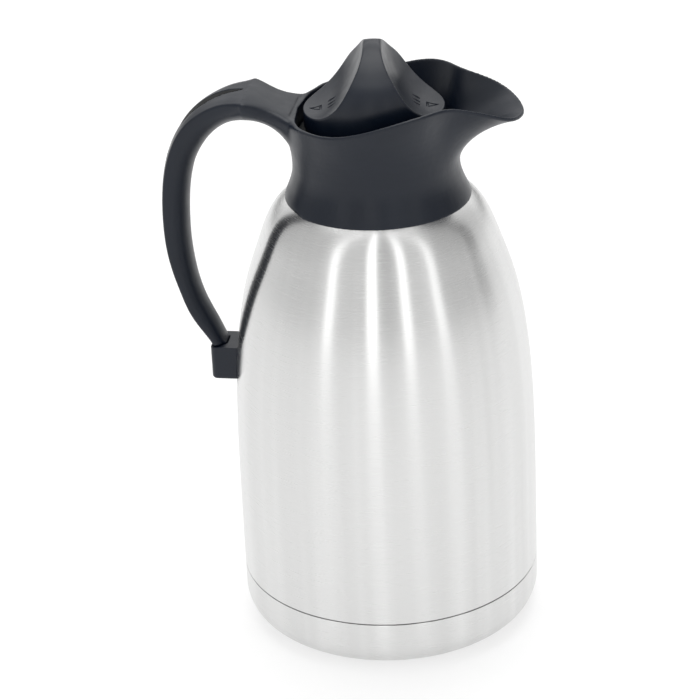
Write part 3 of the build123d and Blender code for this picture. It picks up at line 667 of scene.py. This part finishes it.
def stopper_grip():
    """The drum with its ridge between two scoops, and the marks engraved in the two lobes."""
    dome = spline(DOME, DOME_POINTS, (0.0, 1.0), (-1.0, 0.0))
    dome = np.concatenate([[(DOME[0][0], GRIP_FOOT_Z)], dome])
    angles = grip_angles()
    paths = np.array([meridian(angle, dome) for angle in angles])
    r, z = paths[:, :-1, 0], paths[:, :-1, 1]
    x, y = r * np.cos(angles)[:, None], r * np.sin(angles)[:, None]
    z = z - MARK_DEPTH * engraving(x, y) * (1 - ease(r, *WALL_FADE))
    c, s = math.cos(STOPPER_TURN), math.sin(STOPPER_TURN)
    points = np.stack([c * x - s * y, s * x + c * y, z], -1).reshape(-1, 3) * MM
    count = len(angles)
    crown, foot = len(points), len(points) + 1
    points = np.concatenate([points, [(0, 0, paths[0, -1, 1] * MM), (0, 0, GRIP_FOOT_Z * MM)]])
    faces = []
    for i in range(count):
        near, far = i * RINGS, (i + 1) % count * RINGS
        faces += [(near + k, far + k, far + k + 1, near + k + 1) for k in range(RINGS - 1)]
        faces += [(near + RINGS - 1, far + RINGS - 1, crown), (far, near, foot)]
    mesh = new_mesh("stopper_handle", points, faces)
    return new_piece("stopper_handle", mesh, "black_plastic", "stopper", "stopper_grip",
                     sharp=GRIP_SHARP)


finish_cad_nodes()
outer_shell()
base_cup()
pour_collar()
softened("grip_inlay", "handle_inlay", INLAY_QUAD, "soft_inlay")
softened("handle_bracket", "lower_bracket", BRACKET_QUAD, "black_plastic")
stopper_grip()


# ---------------------------------------------------------------- camera, light and floor

# metres
CAMERA_AT = Vector((0.1766, -1.1147, 0.6873))
CAMERA_AIM = Vector((-0.0158, -0.0058, 0.1435))
CAMERA_ROLL = math.radians(-2.5575)
CAMERA_LENS = 129.9
CAMERA_SENSOR = 36.0


def make_camera():
    data = bpy.data.cameras.new("camera")
    data.lens = CAMERA_LENS
    data.sensor_width = CAMERA_SENSOR
    data.clip_start, data.clip_end = 0.05, 20.0
    camera = bpy.data.objects.new("camera", data)
    bpy.context.scene.collection.objects.link(camera)
    camera.location = CAMERA_AT
    camera.rotation_mode = "QUATERNION"
    look = (CAMERA_AIM - CAMERA_AT).to_track_quat("-Z", "Y")
    camera.rotation_quaternion = look @ Quaternion((0, 0, 1), CAMERA_ROLL)
    bpy.context.scene.camera = camera


# directions towards the camera and to its right, along the floor
FRONT = (0.157, -0.988, 0.0)
RIGHT = (0.988, 0.157, 0.0)
# low down behind the object the wall loses the share DIM of its light, fading between these
# cosines to FRONT and these sines of the height
BEHIND = (-0.95, -0.55)
LOW = (0.04, 0.30)
DIM = 0.85
# the studio's wall of light: turn from FRONT towards RIGHT in degrees, and radiance; the four
# narrow peaks are strips
WALL = ((-180, 1.15), (-172, 0.95), (-164, 1.15), (-152, 1.0), (-144, 0.75), (-125, 0.75),
        (-110, 0.62), (-62, 0.66), (-50, 0.85), (-48, 1.9), (-43, 1.8), (-40, 0.72), (-14, 0.68),
        (-11, 2.2), (-6, 2.2), (-3, 0.62), (16, 0.58), (18, 1.9), (23, 1.9), (26, 0.7), (45, 0.78),
        (47, 1.75), (52, 1.55), (55, 0.62), (78, 0.55), (91, 0.54), (97, 0.24), (105, 0.24),
        (110, 0.58), (138, 0.8), (156, 1.2), (180, 1.15))
# the top light stands over the object's back: its middle, its radiance, and the cosines to its
# middle at which it begins and is full
TOP_AXIS = (-0.044, 0.278, 0.960)
TOP_LIGHT = 3.2
TOP_FROM = 0.88
TOP_FULL = 0.97
# colours are kept as shares of this radiance
RANGE = 3.5
# the floor is a pale panel that also glows a little from below, so that the shadow on it is faint
FLOOR_HALF = 6.0
FLOOR_GREY = 0.45
FLOOR_GLOW = 0.58


def make_lights():
    """A ring of soft light with four upright strips, dim low down at the back, and a top light."""
    world = bpy.data.worlds.new("studio")
    bpy.context.scene.world = world
    world.use_nodes = True
    tree = world.node_tree

    def add(kind, *values, **settings):
        node = tree.nodes.new(kind)
        for name, value in settings.items():
            setattr(node, name, value)
        for i, value in enumerate(values):
            if isinstance(value, bpy.types.NodeSocket):
                tree.links.new(value, node.inputs[i])
            else:
                node.inputs[i].default_value = value
        return node

    def eased(*values):
        """A value's span, from and to, carried over smoothly to two new values."""
        return add("ShaderNodeMapRange", *values, interpolation_type="SMOOTHSTEP").outputs[0]

    def mixed(share, colour, grey):
        """The colour going over into a grey as the share rises."""
        mix = add("ShaderNodeMix", data_type="RGBA")
        tree.links.new(share, mix.inputs[0])
        tree.links.new(colour, mix.inputs[6])
        mix.inputs[7].default_value = (grey, grey, grey, 1.0)
        return mix.outputs[2]

    view = add("ShaderNodeTexCoord").outputs["Generated"]
    ahead = add("ShaderNodeVectorMath", view, FRONT, operation="DOT_PRODUCT").outputs["Value"]
    across = add("ShaderNodeVectorMath", view, RIGHT, operation="DOT_PRODUCT").outputs["Value"]
    turn = add("ShaderNodeMath", across, ahead, operation="ARCTAN2").outputs[0]
    share = add("ShaderNodeMapRange", turn, -math.pi, math.pi, 0.0, 1.0).outputs[0]
    wall = add("ShaderNodeValToRGB", share)
    elements = wall.color_ramp.elements
    while len(elements) < len(WALL):
        elements.new(0.5)
    for element, (degrees, radiance) in zip(elements, WALL):
        level = radiance / RANGE
        element.position = (degrees + 180) / 360
        element.color = (level, level, level, 1.0)
    up = add("ShaderNodeVectorMath", view, TOP_AXIS, operation="DOT_PRODUCT").outputs["Value"]
    height = add("ShaderNodeSeparateXYZ", view).outputs[2]
    behind = eased(ahead, *BEHIND, DIM, 0.0)
    dimming = eased(height, *LOW, behind, 0.0)
    over = eased(up, TOP_FROM, TOP_FULL, 0.0, 1.0)
    ring = mixed(dimming, wall.outputs[0], 0.0)
    light = mixed(over, ring, TOP_LIGHT / RANGE)
    background = tree.nodes["Background"]
    tree.links.new(light, background.inputs[0])
    background.inputs[1].default_value = RANGE


def make_floor():
    """A wide flat panel under the object."""
    half = FLOOR_HALF
    corners = [(-half, -half, 0), (half, -half, 0), (half, half, 0), (-half, half, 0)]
    mesh = new_mesh("floor", corners, [(0, 1, 2, 3)])
    floor = bpy.data.objects.new("floor", mesh)
    bpy.context.scene.collection.objects.link(floor)
    s = Shader("floor", Roughness=0.8, Base_Color=(FLOOR_GREY, FLOOR_GREY, FLOOR_GREY, 1.0),
               Emission_Color=(1.0, 1.0, 1.0, 1.0), Emission_Strength=FLOOR_GLOW)
    mesh.materials.append(s.material)


make_camera()
make_lights()
make_floor()
bpy.context.scene.view_settings.view_transform = "Standard"
